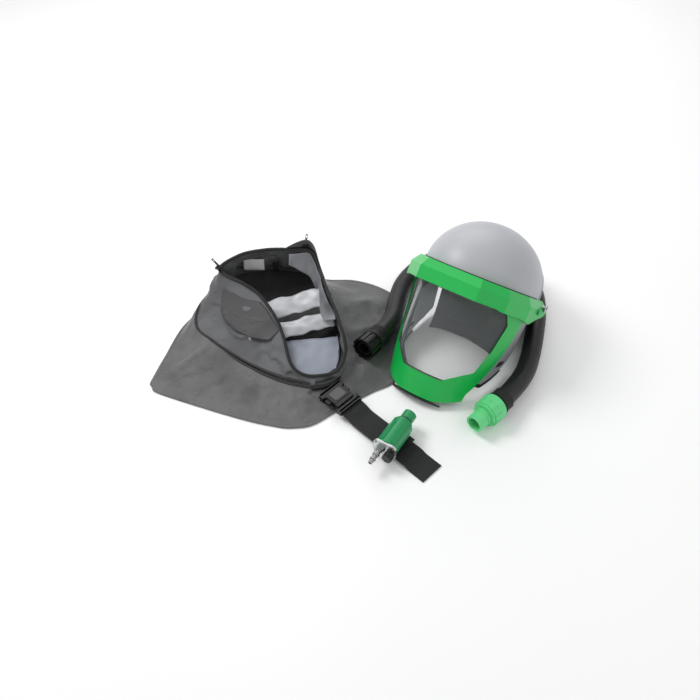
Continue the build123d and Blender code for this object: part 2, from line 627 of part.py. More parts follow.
# ---------------------------------------------------------------- build, place and write
def build_helmet():
    build_shell()
    build_inlet()
    build_headgear()
    build_face_parts()
    build_visor()
    yaw = Location((0, 0, 0), (0, 0, HELMET_YAW))
    pitch = Location((0, 0, 0), (-HELMET_PITCH, 0, 0))
    roll = Location((0, 0, 0), (0, HELMET_ROLL, 0))
    place = Location(HELMET_AT) * yaw * pitch * roll
    for node in list(NODES):
        NODES[node] = place * NODES[node]


def main():
    os.makedirs("parts", exist_ok=True)
    build_helmet()
    tube_space = build_tube()
    build_belt()
    build_valve()
    build_cape(tube_space)
    shift = Location((-ORIGIN[0], -ORIGIN[1], 0))
    for node, shape in NODES.items():
        export_step(shift * shape, f"parts/{node}.step")


main()
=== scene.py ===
import math

import bpy
from mathutils import Matrix, Vector, noise


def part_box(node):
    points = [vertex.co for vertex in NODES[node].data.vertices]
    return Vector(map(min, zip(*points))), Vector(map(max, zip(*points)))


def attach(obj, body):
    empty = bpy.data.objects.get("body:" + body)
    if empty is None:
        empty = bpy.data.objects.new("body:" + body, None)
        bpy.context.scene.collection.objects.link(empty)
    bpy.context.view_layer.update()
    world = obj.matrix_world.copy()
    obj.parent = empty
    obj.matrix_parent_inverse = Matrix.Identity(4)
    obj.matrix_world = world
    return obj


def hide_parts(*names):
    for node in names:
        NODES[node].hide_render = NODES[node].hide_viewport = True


# Supplied-air respirator kit: helmet with lift-up visor, breathing tube, cloth cape, belt with valve.
# Metres in the row frame. Sizes of cloth and straps are given in millimetres and placed by helpers.

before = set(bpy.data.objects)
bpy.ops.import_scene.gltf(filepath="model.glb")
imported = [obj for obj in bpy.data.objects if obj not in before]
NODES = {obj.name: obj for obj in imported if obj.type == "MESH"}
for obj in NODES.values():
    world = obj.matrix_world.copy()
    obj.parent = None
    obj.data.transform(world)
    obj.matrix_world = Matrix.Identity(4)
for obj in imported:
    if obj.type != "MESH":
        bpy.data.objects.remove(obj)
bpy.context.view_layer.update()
MM = 0.001
TABLE_SHIFT = (2.4, 49.2)      # from the laying-out plan to the row frame


# ------------------------------------------------------------------ places
def plan(x, y, z=0.0):
    """A point of the laying-out plan, in millimetres, as a place in the row frame."""
    return Vector(((x + TABLE_SHIFT[0]) * MM, (y + TABLE_SHIFT[1]) * MM, z * MM))


def turned(axis, degrees):
    return Matrix.Rotation(math.radians(degrees), 4, axis)


HELMET_AT = (244.0, 72.0, 118.3)       # centre of the shell at its brow line
HELMET_YAW = -39.5
HELMET_PITCH = -43
HELMET_ROLL = -5
HELMET = Matrix.Translation(HELMET_AT) @ turned("Z", HELMET_YAW)
HELMET = HELMET @ turned("X", HELMET_PITCH) @ turned("Y", HELMET_ROLL)
BELT_AT = (-18.0, -126.0, 0.0)         # centre of the buckle; the belt runs along its own x
BELT_HEADING = -44.5
BELT = Matrix.Translation(BELT_AT) @ turned("Z", BELT_HEADING)


def on_helmet(x, y, z):
    return plan(*(HELMET @ Vector((x, y, z))))


def on_belt(x, y, z):
    return plan(*(BELT @ Vector((x, y, z))))


# ------------------------------------------------------------------ camera, light and table
CAMERA_AT = (0.0024, -1.0214, 1.1890)
CAMERA_TILT = 42                       # degrees up from looking straight down
FOCAL_LENGTH = 43.71
SENSOR_WIDTH = 36
FARTHEST_SEEN = 20
SKY_STRENGTH = 0.62


def set_camera():
    data = bpy.data.cameras.new("camera")
    data.lens = FOCAL_LENGTH
    data.sensor_width = SENSOR_WIDTH
    data.clip_end = FARTHEST_SEEN
    camera = bpy.data.objects.new("camera", data)
    bpy.context.scene.collection.objects.link(camera)
    camera.location = CAMERA_AT
    camera.rotation_euler = (math.radians(CAMERA_TILT), 0, 0)
    bpy.context.scene.camera = camera


def soft_box(name, place, aim, size, watts):
    data = bpy.data.lights.new(name, "AREA")
    data.size = size
    data.energy = watts
    lamp = bpy.data.objects.new(name, data)
    bpy.context.scene.collection.objects.link(lamp)
    lamp.location = place
    lamp.rotation_euler = (Vector(aim) - Vector(place)).to_track_quat("-Z", "Y").to_euler()


def light_studio():
    world = bpy.data.worlds.new("studio")
    world.use_nodes = True
    sky = world.node_tree.nodes["Background"]
    sky.inputs["Color"].default_value = (1, 1, 1, 1)
    sky.inputs["Strength"].default_value = SKY_STRENGTH
    bpy.context.scene.world = world
    bpy.context.scene.view_settings.view_transform = "Standard"
    soft_box("key", (-1.0, 0.5, 1.5), (0, 0, 0), 0.7, 17)
    soft_box("fill", (1.3, -0.9, 1.3), (0.1, 0, 0.1), 1.4, 5)
    soft_box("back", (0.3, 1.6, 1.2), (0.1, 0.1, 0.1), 1.4, 9)


# ------------------------------------------------------------------ shader writing
class Value:
    """A shader socket that can be added, multiplied and so on."""

    def __init__(self, finish, socket):
        self.finish = finish
        self.socket = socket

    def _math(self, operation, first, second):
        return self.finish.node("ShaderNodeMath", {"operation": operation}, {0: first, 1: second})

    def __add__(self, other):
        return self._math("ADD", self, other)

    def __radd__(self, other):
        return self._math("ADD", other, self)

    def __sub__(self, other):
        return self._math("SUBTRACT", self, other)

    def __rsub__(self, other):
        return self._math("SUBTRACT", other, self)

    def __mul__(self, other):
        return self._math("MULTIPLY", self, other)

    def __rmul__(self, other):
        return self._math("MULTIPLY", other, self)

    def __pow__(self, other):
        return self._math("POWER", self, other)


class Finish:
    """One material: its Principled shader and the nodes behind it."""

    def __init__(self, name, **constants):
        self.material = bpy.data.materials.new(name)
        self.material.use_nodes = True
        self.tree = self.material.node_tree
        self.shader = self.tree.nodes["Principled BSDF"]
        for socket, value in constants.items():
            self.shader.inputs[socket.replace("_", " ")].default_value = value
        self.place = self.node("ShaderNodeTexCoord", {}, {}, "Object")

    def node(self, kind, settings, inputs, out=0):
        made = self.tree.nodes.new(kind)
        for key, value in settings.items():
            if key == "stops":
                self.set_stops(made.color_ramp, value)
            else:
                setattr(made, key, value)
        for key, value in inputs.items():
            self.feed(made.inputs[key], value)
        return Value(self, made.outputs[out])

    def set_stops(self, ramp, stops):
        while len(ramp.elements) < len(stops):
            ramp.elements.new(0.5)
        for element, (at, shade) in zip(ramp.elements, stops):
            element.position = at
            element.color = (shade, shade, shade, 1)

    def feed(self, socket, value):
        if isinstance(value, Value):
            self.tree.links.new(value.socket, socket)
        else:
            socket.default_value = value

    def noise(self, scale, detail=3.0, rough=0.5, at=None):
        inputs = {"Vector": at or self.place, "Scale": scale, "Detail": detail, "Roughness": rough}
        return self.node("ShaderNodeTexNoise", {}, inputs, "Fac")

    def bands(self, scale, turn=(0, 0, 0), distortion=0.0):
        """Sine stripes across the surface, scale of them per metre or so."""
        turned_place = self.node("ShaderNodeMapping", {}, {"Vector": self.place, "Rotation": turn})
        inputs = {"Vector": turned_place, "Scale": scale, "Distortion": distortion, "Detail Scale": 1.0}
        return self.node("ShaderNodeTexWave", {}, inputs, "Fac")

    def between(self, value, low, high):
        """0 below low and 1 above high, smooth in between."""
        return self.node("ShaderNodeMapRange", {"interpolation_type": "SMOOTHSTEP"},
                         {"Value": value, "From Min": low, "From Max": high})

    def blend(self, factor, first, second):
        """Mix of two colours."""
        return self.node("ShaderNodeMix", {"data_type": "RGBA"}, {0: factor, 6: first, 7: second}, 2)

    def colour(self, value):
        self.feed(self.shader.inputs["Base Color"], value)

    def roughness(self, value):
        self.feed(self.shader.inputs["Roughness"], value)

    def bump(self, height, depth, strength=1.0):
        """Relief of that depth in metres."""
        normal = self.node("ShaderNodeBump", {}, {"Height": height, "Distance": depth, "Strength": strength})
        self.feed(self.shader.inputs["Normal"], normal)


def shade(r, g, b):
    """A display colour, 0 to 255, as linear RGBA."""
    return tuple((c / 255) ** 2.2 for c in (r, g, b)) + (1.0,)


def moulded_plastic(name, base, scuffed, rough=0.38, grain=900.0, depth=0.00006, coat=0.0):
    """Moulded plastic: faint grain, slow colour drift and fine scuffs."""
    f = Finish(name, Coat_Weight=coat, Coat_Roughness=0.2)
    drift = f.noise(14.0, 2.0)
    scuff = f.between(f.noise(95.0, 6.0, 0.7), 0.60, 0.72)
    f.colour(f.blend(scuff * 0.35 + drift * 0.25, base, scuffed))
    f.roughness(drift * 0.12 + scuff * 0.14 + (rough - 0.06))
    f.bump(f.noise(grain, 2.0), depth)
    return f.material


def make_finishes():
    m = {}
    m["shell"] = moulded_plastic("shell grey plastic", shade(172, 173, 178), shade(156, 157, 163), 0.42)
    m["visor"] = moulded_plastic("visor green plastic", shade(4, 172, 72), shade(26, 184, 88), 0.36,
                                 coat=0.15)
    m["catch"] = moulded_plastic("catch green plastic", shade(10, 150, 72), shade(30, 170, 90), 0.4)
    m["coupling"] = moulded_plastic("coupling mint plastic", shade(96, 208, 132), shade(118, 218, 148), 0.4)
    m["valve"] = moulded_plastic("valve green enamel", shade(0, 134, 76), shade(20, 150, 92), 0.3, coat=0.3)
    m["black plastic"] = moulded_plastic("black plastic", shade(14, 14, 15), shade(30, 30, 31), 0.42)
    m["dark plastic"] = moulded_plastic("inner dark plastic", shade(40, 41, 43), shade(58, 58, 60), 0.5)
    m["guard"] = moulded_plastic("guard grey plastic", shade(150, 151, 156), shade(132, 133, 138), 0.45)
    m["rubber"] = moulded_plastic("black rubber", shade(14, 14, 15), shade(26, 26, 26), 0.62, 1500.0, 0.0001)
    m["badge"] = moulded_plastic("badge plate", shade(70, 71, 74), shade(96, 97, 100), 0.3)
    m["steel"] = brushed_metal("turned steel", shade(176, 176, 178), 0.26)
    m["plate"] = brushed_metal("valve end plate", shade(206, 212, 210), 0.34)
    m["cape"] = coated_cloth("coated cape cloth", shade(92, 92, 93), shade(68, 68, 70))
    m["collar"] = coated_cloth("collar cloth", shade(90, 91, 93), shade(62, 62, 65))
    m["flap"] = coated_cloth("zip flap cloth", shade(62, 62, 64), shade(50, 50, 52))
    m["satin"] = satin("satin lining", shade(186, 188, 192), shade(150, 152, 158))
    # darker copy of the satin lining for the fold inside the collar's back: painted shade
    m["grey fold"] = satin("satin lining painted shade", shade(128, 129, 133), shade(84, 85, 89))
    m["panel"] = satin("blue grey lining", shade(140, 146, 158), shade(112, 117, 128))
    m["label"] = woven_label()
    m["webbing"] = webbing("belt webbing weave", shade(10, 10, 11), BELT_HEADING)
    m["strap"] = webbing("crown strap weave", shade(60, 61, 64), HELMET_YAW)
    m["pad"] = coated_cloth("brow pad cloth", shade(44, 44, 46), shade(30, 30, 32))
    # near-black cloth for the collar's floor and the helmet's nape sheet, both painted shade
    m["lining"] = coated_cloth("painted shade cloth", shade(30, 30, 32), shade(20, 20, 22))
    m["hose"] = hose_skin()
    m["zip"] = moulded_plastic("zip black tape", shade(22, 22, 24), shade(44, 44, 46), 0.5, 2200.0, 0.0002)
    m["lens"] = clear_lens()
    return m


def brushed_metal(name, base, rough):
    f = Finish(name, Metallic=1.0)
    turning = f.noise(420.0, 4.0, 0.65)
    tarnish = f.between(f.noise(60.0, 3.0), 0.5, 0.75)
    f.colour(f.blend(tarnish * 0.3, base, shade(140, 138, 132)))
    f.roughness(turning * 0.16 + tarnish * 0.12 + (rough - 0.08))
    f.bump(turning, 0.00003)
    return f.material


CLOTH_WEAVE = 520.0                    # scale of the threads, in each direction
LABEL_WEAVE = 900.0
STRAP_WEAVE = 105.0


def coated_cloth(name, base, worn_and_shaded):
    """Polyurethane-coated cloth: fine plain weave under a soft sheen, with creases and rubbed places; the
    creases are also painted darker as shade.
    """
    f = Finish(name, Sheen_Weight=0.18, Sheen_Roughness=0.5)
    warp = f.bands(CLOTH_WEAVE, (0, 0, math.radians(20)))
    weft = f.bands(CLOTH_WEAVE, (0, 0, math.radians(110)))
    crease = f.between(f.noise(34.0, 5.0, 0.55), 0.47, 0.62)
    rubbed = f.between(f.noise(11.0, 3.0), 0.42, 0.68)
    # colour: rubbed places are wear; the crease mask darkens the creases as painted shade
    f.colour(f.blend(rubbed * 0.55 + crease * 0.2, base, worn_and_shaded))
    f.roughness(0.5 + rubbed * 0.1 - crease * 0.06)
    f.bump(warp * weft * 0.12 + crease * 0.7 + f.noise(120.0, 3.0) * 0.25, 0.0009)
    return f.material


def satin(name, base, dark):
    """Smooth lining cloth with long soft crumples, painted darker along them as shade."""
    f = Finish(name, Sheen_Weight=0.35, Sheen_Roughness=0.3)
    crumple = f.noise(17.0, 2.0, 0.5)
    # painted shade: the colour darkens where the crumple relief rises
    f.colour(f.blend(f.between(crumple, 0.42, 0.7), base, dark))
    f.roughness(0.34 + crumple * 0.16)
    f.bump(crumple, 0.0012)
    return f.material


def woven_label():
    f = Finish("woven label")
    threads = f.bands(LABEL_WEAVE) * 0.5 + f.bands(LABEL_WEAVE, (0, math.radians(90), 0)) * 0.5
    f.colour(f.blend(threads * 0.3, shade(214, 214, 214), shade(186, 186, 188)))
    f.roughness(0.6 + threads * 0.1)
    f.bump(threads, 0.00015)
    return f.material


def webbing(name, base, heading):
    """Woven strap: chevron ribs along it and a tight crosswise weave; the ribs are painted lighter as
    highlight.
    """
    f = Finish(name, Sheen_Weight=0.06, Sheen_Roughness=0.45)
    along = f.bands(STRAP_WEAVE, (0, 0, math.radians(-heading)))
    across = f.bands(STRAP_WEAVE, (0, 0, math.radians(-heading + 90)))
    rib = across * 0.7 + along * along * 0.5
    fuzz = f.noise(800.0, 3.0)
    # colour: painted highlight on the rib crests, plus random fibre fuzz
    f.colour(f.blend(rib * 0.35 + fuzz * 0.25, base, shade(40, 40, 42)))
    f.roughness(0.62 + fuzz * 0.14)
    f.bump(rib + fuzz * 0.2, 0.0005)
    return f.material


def hose_skin():
    f = Finish("hose black rubber", Coat_Weight=0.08, Coat_Roughness=0.3)
    bloom = f.between(f.noise(26.0, 4.0), 0.45, 0.7)
    f.colour(f.blend(bloom * 0.5, shade(9, 9, 10), shade(26, 26, 28)))
    f.roughness(0.36 + bloom * 0.16)
    f.bump(f.noise(900.0, 2.0), 0.00008)
    return f.material


def clear_lens():
    f = Finish("clear lens", Alpha=0.06, IOR=1.45)
    haze = f.between(f.noise(40.0, 4.0), 0.5, 0.75)
    f.colour(f.blend(haze, shade(222, 228, 230), shade(240, 243, 244)))
    f.roughness(0.05 + haze * 0.08)
    return f.material


# ------------------------------------------------------------------ mesh helpers
def link(name, mesh, material):
    piece = bpy.data.objects.new(name, mesh)
    bpy.context.scene.collection.objects.link(piece)
    mesh.materials.append(material)
    return piece


def sheet_mesh(name, rows, closed, material):
    """Grid of faces through rows of points; closed rows join their ends."""
    count = len(rows[0])
    verts = [p for row in rows for p in row]
    last = count if closed else count - 1
    faces = []
    for r in range(len(rows) - 1):
        for c in range(last):
            d = (c + 1) % count
            faces.append((r * count + c, r * count + d, (r + 1) * count + d, (r + 1) * count + c))
    mesh = bpy.data.meshes.new(name)
    mesh.from_pydata(verts, [], faces)
    mesh.polygons.foreach_set("use_smooth", [True] * len(faces))
    mesh.update()
    return link(name, mesh, material)


def grid(columns, steps, place):
    """Rows of places; place takes u across and v up, both 0 to 1."""
    return [[place(c / columns, r / steps) for c in range(columns + 1)] for r in range(steps + 1)]


def thicken(piece, thickness, offset):
    """Gives a sheet its thickness: offset -1 is all below it, 0 is half on each side."""
    solid = piece.modifiers.new("thickness", "SOLIDIFY")
    solid.thickness = thickness
    solid.offset = offset


def on_loop(points, t):
    """Smooth closed curve through the points; t runs once per point."""
    n = len(points)
    i = int(math.floor(t)) % n
    s = t - math.floor(t)
    a, b, c, d = (Vector(points[(i + k) % n]) for k in (-1, 0, 1, 2))
    square = 2 * a - 5 * b + 4 * c - d
    cube = 3 * b - a - 3 * c + d
    return 0.5 * (2 * b + (c - a) * s + square * s * s + cube * s ** 3)


def in_direction(points, middle, count):
    """The closed curve's places in that many even directions from its middle."""
    dense = [on_loop(points, i / 40) for i in range(len(points) * 40)]
    polar = [(math.atan2(q.y - middle[1], q.x - middle[0]), q) for q in dense]
    polar.sort(key=lambda pair: pair[0])
    out = []
    k = 0
    for i in range(count):
        angle = -math.pi + math.tau * i / count
        while k < len(polar) - 1 and polar[k][0] < angle:
            k += 1
        out.append(polar[k][1])
    return out


def off_segment(p, a, b):
    """Distance from p to the segment a-b, and how far along it the nearest place is, 0 to 1."""
    run = b - a
    s = max(0.0, min(1.0, (p - a).dot(run) / run.length_squared))
    return (p - a - run * s).length, s


# ------------------------------------------------------------------ breathing tube
TUBE_R = 18.0
TUBE_ROUTE = [(42, -8, 34), (80, 42, 28), (90, 105, 20), (108, 173, 19.5), (169, 237, 18.6),
              (257, 251, 18.6), (335.5, 209.5, 18.6), (372.5, 128.5, 18.6), (338, -18, 18.6),
              (306, -101, 25.5), (256, -150, 25.5)]
RIB_PITCH = 5.0
RIB_DEPTH = 0.9
ROWS_PER_RIB = 4
TUBE_SIDES = 40


def route_line():
    """Points along the smooth line that the route's corners pull."""
    data = bpy.data.curves.new("tube route", "CURVE")
    data.dimensions = "3D"
    data.resolution_u = 48
    spline = data.splines.new("NURBS")
    spline.points.add(len(TUBE_ROUTE) - 1)
    for point, place in zip(spline.points, TUBE_ROUTE):
        point.co = (*plan(*place), 1.0)
    spline.order_u = 3
    spline.use_endpoint_u = True
    holder = bpy.data.objects.new("tube route", data)
    bpy.context.scene.collection.objects.link(holder)
    bpy.context.view_layer.update()
    mesh = bpy.data.meshes.new_from_object(holder)
    line = [v.co.copy() for v in mesh.vertices]
    bpy.data.objects.remove(holder)
    return line


def evenly(line, step):
    """The same line with a point every step."""
    out = [line[0]]
    need = step
    for a, b in zip(line, line[1:]):
        run = (b - a).length
        while need <= run and run > 0:
            out.append(a.lerp(b, need / run))
            need += step
        need -= run
    return out


def make_tube(material):
    """Ribbed hose swept along the route; returns the line that it follows."""
    line = evenly(route_line(), RIB_PITCH * MM / ROWS_PER_RIB)
    side = Vector((0, 0, 1))
    rows = []
    for i, at in enumerate(line):
        ahead = (line[min(i + 1, len(line) - 1)] - line[max(i - 1, 0)]).normalized()
        side = (side - ahead * side.dot(ahead)).normalized()
        other = ahead.cross(side)
        radius = (TUBE_R - RIB_DEPTH * (0.5 - 0.5 * math.cos(math.tau * i / ROWS_PER_RIB))) * MM
        row = []
        for k in range(TUBE_SIDES):
            turn = math.tau * k / TUBE_SIDES
            row.append(at + (side * math.cos(turn) + other * math.sin(turn)) * radius)
        rows.append(row)
    tube = sheet_mesh("hose", rows, True, material)
    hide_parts("breathing_tube")
    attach(tube, "tube")
    length = sum((b - a).length for a, b in zip(line, line[1:]))
    tuple(line[0])
    [tuple(p) for p in line]
    return line


# ------------------------------------------------------------------ cape
# Outlines seen from above, in the plan: RIM and FOOT are the collar's upper and lower edge, HEM the skirt's.
RIM = [(-64, -88), (-25, -79), (-9, -50), (-10, -22), (-24, 24), (-53, 100), (-72, 150),
       (-116, 154), (-162, 153), (-210, 142), (-246, 113), (-200, 86), (-169, 64), (-138, 22),
       (-122, -14), (-108, -62), (-90, -82)]
FOOT = [(-62, -97), (-30, -84), (-14, -54), (-12, -16), (-16, 36), (-30, 100), (-56, 152),
        (-106, 180), (-170, 182), (-236, 158), (-286, 96), (-292, 34), (-262, 2), (-222, -30),
        (-180, -58), (-128, -84), (-92, -95)]
HEM = [(-362, -78), (-363, -86), (-356, -94), (-341, -108), (-204, -160), (-130, -181), (-97, -184),
       (-62, -176), (-14, -140), (40, -105), (80, -80), (94, -30), (100, 40), (104, 100), (100, 132),
       (60, 168), (10, 188), (-40, 190), (-90, 196), (-180, 180), (-262, 128), (-318, 66), (-346, -20)]
CLOTH_T = 1.1
MIDDLE = (-125.0, 35.0)                # inside the neck opening
COLLAR_MIDDLE = (-120, 40)             # the collar's wall bulges away from here
RIM_SLOPE = 0.361                      # the neck opening leans forward
RIM_FRONT = (-88, 26)                  # y and height of its lowest place
TUBE_CLEAR = 20.0
NUT_CLEAR = 25.0                       # radius kept free around the tube's end nut
NUT_HEIGHT = 37.0
NUT_ENDS = ((42, -8), (21, -36))
BELT_GIVE = 6.0                        # cloth left under the buckle
BUCKLE_SPAN = (-50, 48)                # along the belt; past its end the belt sinks towards the table
BELT_FLAT = 28                         # half width of the cloth pressed flat by the belt
BELT_EDGE = 34                         # and of the cloth that rises again beside it
HEM_FLAT = 0.955                       # from here outward the skirt is a rolled hem
FOOT_SHARE = 0.8                       # the collar starts at this share of the shoulder's height
# Raised folds of the skirt, in the plan: start, end, height, width
SKIRT_FOLDS = [
    ((-262, -10), (-352, -78), 7.0, 9.0),
    ((-170, -70), (-205, -150), 3.5, 16.0),
    ((-110, -100), (-95, -175), 3.0, 14.0),
    ((-50, -100), (40, -100), 4.0, 12.0),
    ((-8, -40), (78, -60), 5.0, 12.0),
    ((-10, 20), (70, 60), 7.0, 11.0),
    ((-25, 90), (60, 130), 6.0, 13.0),
    ((-290, 60), (-330, 10), 5.0, 12.0),
    ((-240, 30), (-300, -60), 4.0, 13.0),
    ((-215, -60), (-290, -120), 3.0, 12.0),
]


def rim_height(y):
    """Height of the collar's upper edge."""
    return RIM_FRONT[1] + RIM_SLOPE * (y - RIM_FRONT[0])


def shoulder_height(x, y):
    """Height of the skirt's cloth where it meets the collar."""
    return 12.0 + 0.07 * (y + 97) - 0.03 * x


def foot_height(foot):
    """Height of the collar's lower edge."""
    return shoulder_height(foot.x, foot.y) * FOOT_SHARE


def wall_spot(t, v):
    """Plan place and height on the collar wall: t around it, v from foot 0 to rim 1."""
    foot = on_loop(FOOT, t)
    rim = on_loop(RIM, t)
    x, y = foot.lerp(rim, v)
    low = foot_height(foot)
    return x, y, low + (rim_height(rim.y) - low) * v


def pressed(x, y, z, tube_line):
    """Height of cloth at a plan place after what lies on it has pressed it down."""
    here = plan(x, y, 0).xy
    for a, b in zip(tube_line, tube_line[1:]):
        flat, s = off_segment(here, a.xy, b.xy)
        flat /= MM
        if flat < TUBE_CLEAR:
            centre = (a.z + (b.z - a.z) * s) / MM
            z = min(z, centre - math.sqrt(TUBE_CLEAR ** 2 - flat ** 2))
    nut_from, nut_to = (plan(*end).xy for end in NUT_ENDS)
    flat, s = off_segment(here, nut_from, nut_to)
    if flat / MM < NUT_CLEAR:
        z = min(z, NUT_HEIGHT - math.sqrt(NUT_CLEAR ** 2 - (flat / MM) ** 2))
    across = BELT.inverted() @ Vector((x, y, 0))
    start, end = BUCKLE_SPAN
    if abs(across.y) < BELT_EDGE and across.x > start:
        give = BELT_GIVE if across.x < end else max(2.0, BELT_GIVE - (across.x - end) * 0.2)
        edge = max(0.0, abs(across.y) - BELT_FLAT) / (BELT_EDGE - BELT_FLAT)
        z = min(z, give + edge * 8)
    return max(z, 0.6)


def fold_height(x, y, folds):
    """Sum of the soft ridges at a plan place; each ridge is low at its ends."""
    total = 0.0
    here = Vector((x, y))
    for start, end, height, width in folds:
        away, s = off_segment(here, Vector(start), Vector(end))
        along = 0.35 + 0.65 * math.sin(math.pi * min(1, s + 0.15))
        total += height * math.exp(-(away / width) ** 2) * along
    return total


def make_skirt(material, tube_line):
    """Cape cloth from the collar's foot out to the hem, pressed down by the tube, its nut and the belt."""
    columns, steps = 374, 46
    coarse = tube_line[::16]
    inner_loop = in_direction(FOOT, MIDDLE, columns)
    outer_loop = in_direction(HEM, MIDDLE, columns)
    rows = []
    for r in range(steps + 1):
        v = r / steps
        row = []
        for c in range(columns):
            inner = inner_loop[c]
            outer = outer_loop[c]
            x, y = inner.lerp(outer, v)
            base = shoulder_height(inner.x, inner.y) * (1 - v) ** 1.25
            lift = math.sin(math.pi * min(v * 1.15, 1.0))
            ripple = noise.noise(Vector((x * 0.021, y * 0.021, 3.1))) * 8.0 * lift
            ripple += noise.noise(Vector((x * 0.055, y * 0.055, 7.7))) * 2.2 * lift
            z = base + ripple + fold_height(x, y, SKIRT_FOLDS) * lift
            if v > HEM_FLAT:
                z = max(z, 0) + 1.3
            row.append(plan(x, y, pressed(x, y, z, coarse) + CLOTH_T))
        rows.append(row)
    rows.reverse()
    skirt = sheet_mesh("cape_skirt", rows, True, material)
    thicken(skirt, CLOTH_T * MM, -1.0)
    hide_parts("cape_front", "cape_back")
    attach(skirt, "cape")


def make_collar(material):
    """Standing collar wall from foot to rim, with creases and a rolled edge at its foot."""
    columns, steps = 340, 30
    rows = []
    for r in range(steps + 1):
        v = r / steps
        row = []
        for c in range(columns):
            x, y, z = wall_spot(c / columns * len(FOOT), v)
            out = (Vector((x, y)) - Vector(COLLAR_MIDDLE)).normalized()
            slack = math.sin(math.pi * v)
            # wide bulges, then sharp creases, then small crumples, then the rolled foot
            push = noise.noise(Vector((x * 0.028, y * 0.028, z * 0.05 + 1.7))) * 9.0 * slack
            crease = abs(noise.noise(Vector((x * 0.02 + 3.0, y * 0.02, z * 0.03))))
            push += 7.0 * (0.25 - min(crease, 0.25)) / 0.25 * slack - 3.0 * slack
            push += noise.noise(Vector((x * 0.07, y * 0.07, z * 0.09 + 4.2))) * 2.4 * slack
            if v < 0.14:
                push += 4.0 * math.cos(math.pi * v / 0.28)
            row.append(plan(x + out.x * push, y + out.y * push, max(z, 2.0)))
        rows.append(row)
    collar = sheet_mesh("collar_cloth", rows, True, material)
    thicken(collar, CLOTH_T * MM, 0.0)
    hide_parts("cape_collar")
    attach(collar, "cape")


def collar_place(t, v, out_by=0.0, up_by=0.0):
    """A place on the collar wall, moved outward and up."""
    x, y, z = wall_spot(t, v)
    away = (Vector((x, y)) - Vector(MIDDLE)).normalized()
    return plan(x + away.x * out_by, y + away.y * out_by, z + up_by)


def make_wall_piece(name, material, span, reach, out_by, rise, flat, waves):
    """Cloth piece on the collar wall: span around it, reach up it, out_by off it, all from first to last."""
    def place(u, s):
        t = span[0] + (span[1] - span[0]) * u
        shape = math.sin(math.pi * u) ** 0.8
        v = reach[0] + (reach[1] - reach[0]) * s * (0.35 + 0.65 * shape)
        off = out_by[0] + (out_by[1] - out_by[0]) * s
        off += noise.noise(Vector((t * 2.2, v * 2.5, 9.0))) * waves
        return collar_place(t, v, off, rise * s * shape)

    piece = sheet_mesh(name, grid(70, 16, place), False, material)
    thicken(piece, 0.9 * MM, 0.0)
    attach(piece, "cape")


def make_piping(name, material, span, v, radius, out_by):
    """Rolled dark edge along the collar, thinning to its ends; used as painted shade in the crease under the
    collar's fold.
    """
    rows = []
    count, sides = 150, 10
    for i in range(count + 1):
        u = i / count
        t = span[0] + (span[1] - span[0]) * u
        at = collar_place(t, v, out_by)
        ahead = (collar_place(t + 0.02, v, out_by) - at).normalized()
        side = ahead.cross(Vector((0, 0, 1))).normalized()
        up = side.cross(ahead)
        r = radius * MM * (0.25 + 0.75 * math.sin(math.pi * u) ** 0.5)
        turns = [math.tau * k / sides for k in range(sides)]
        rows.append([at + (side * math.cos(turn) + up * math.sin(turn)) * r for turn in turns])
    piping = sheet_mesh(name, rows, True, material)
    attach(piping, "cape")


# Cloth on the collar wall: name, finish, span around, reach up, distance off, rise, flat size, waves.
# A span or reach counts as t and v do in collar_place.
WALL_PIECES = [
    ("zip_flap", "flap", (10.7, 13.6), (0.97, 0.42), (2.5, 9.0), 0.0, (0.13, 0.055), 3.0),
    ("collar_peak", "collar", (5.0, 7.3), (0.9, 1.05), (4.0, 1.0), 20.0, (0.10, 0.03), 2.0),
    # the inner fold wears the darker satin copy as painted shade
    ("inner_fold", "grey fold", (3.9, 7.0), (0.95, 0.45), (-6.0, -26.0), 0.0, (0.16, 0.038), 6.0),
]


def make_cape_details(materials):
    """Dark roll at the collar's foot as painted shade of the crease under its fold, zip flap left of the
    opening, the standing peak and the fold inside in darker satin as painted shade.
    """
    # painted shade: a near-black roll in the crease under the collar's fold
    make_piping("collar_foot_shade_roll", materials["zip"], (11.2, 18.6), 0.05, 4.2, 5.5)
    for name, finish, *shape in WALL_PIECES:
        make_wall_piece(name, materials[finish], *shape)


TAPE_HALF = (3.1, 2.6)                 # half width and half height of the rolled zip tape
TOOTH_COUNT = 330
# Corners of one tooth: along the zip, away from the opening, and height over the rim
TOOTH = [(along, away, up) for along in (-0.55, 0.55) for away in (-1.6, 1.6) for up in (4.2, 5.2)]
TOOTH_FACES = ((0, 1, 3, 2), (4, 6, 7, 5), (0, 4, 5, 1), (2, 3, 7, 6), (1, 5, 7, 3), (0, 2, 6, 4))


def rim_heading(t):
    """Place on the neck opening, the direction along it and the direction out of it, in the plan."""
    rim = on_loop(RIM, t)
    ahead = (on_loop(RIM, t + 0.02) - rim).normalized()
    return rim, ahead, Vector((ahead.y, -ahead.x))


def make_zip_tape(material):
    """Rolled tape around the neck opening."""
    columns, sides = 340, 14
    rows = [[] for _ in range(sides)]
    for c in range(columns):
        rim, _, out = rim_heading(c / columns * len(RIM))
        for k in range(sides):
            turn = math.tau * k / sides
            away = TAPE_HALF[0] * math.cos(turn)
            up = TAPE_HALF[1] * math.sin(turn)
            height = rim_height(rim.y) + 2.0 + up
            rows[k].append(plan(rim.x + out.x * away, rim.y + out.y * away, height))
    rows.append(rows[0])
    tape = sheet_mesh("zip_tape_roll", rows, True, material)
    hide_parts("zip_tape")
    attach(tape, "cape")


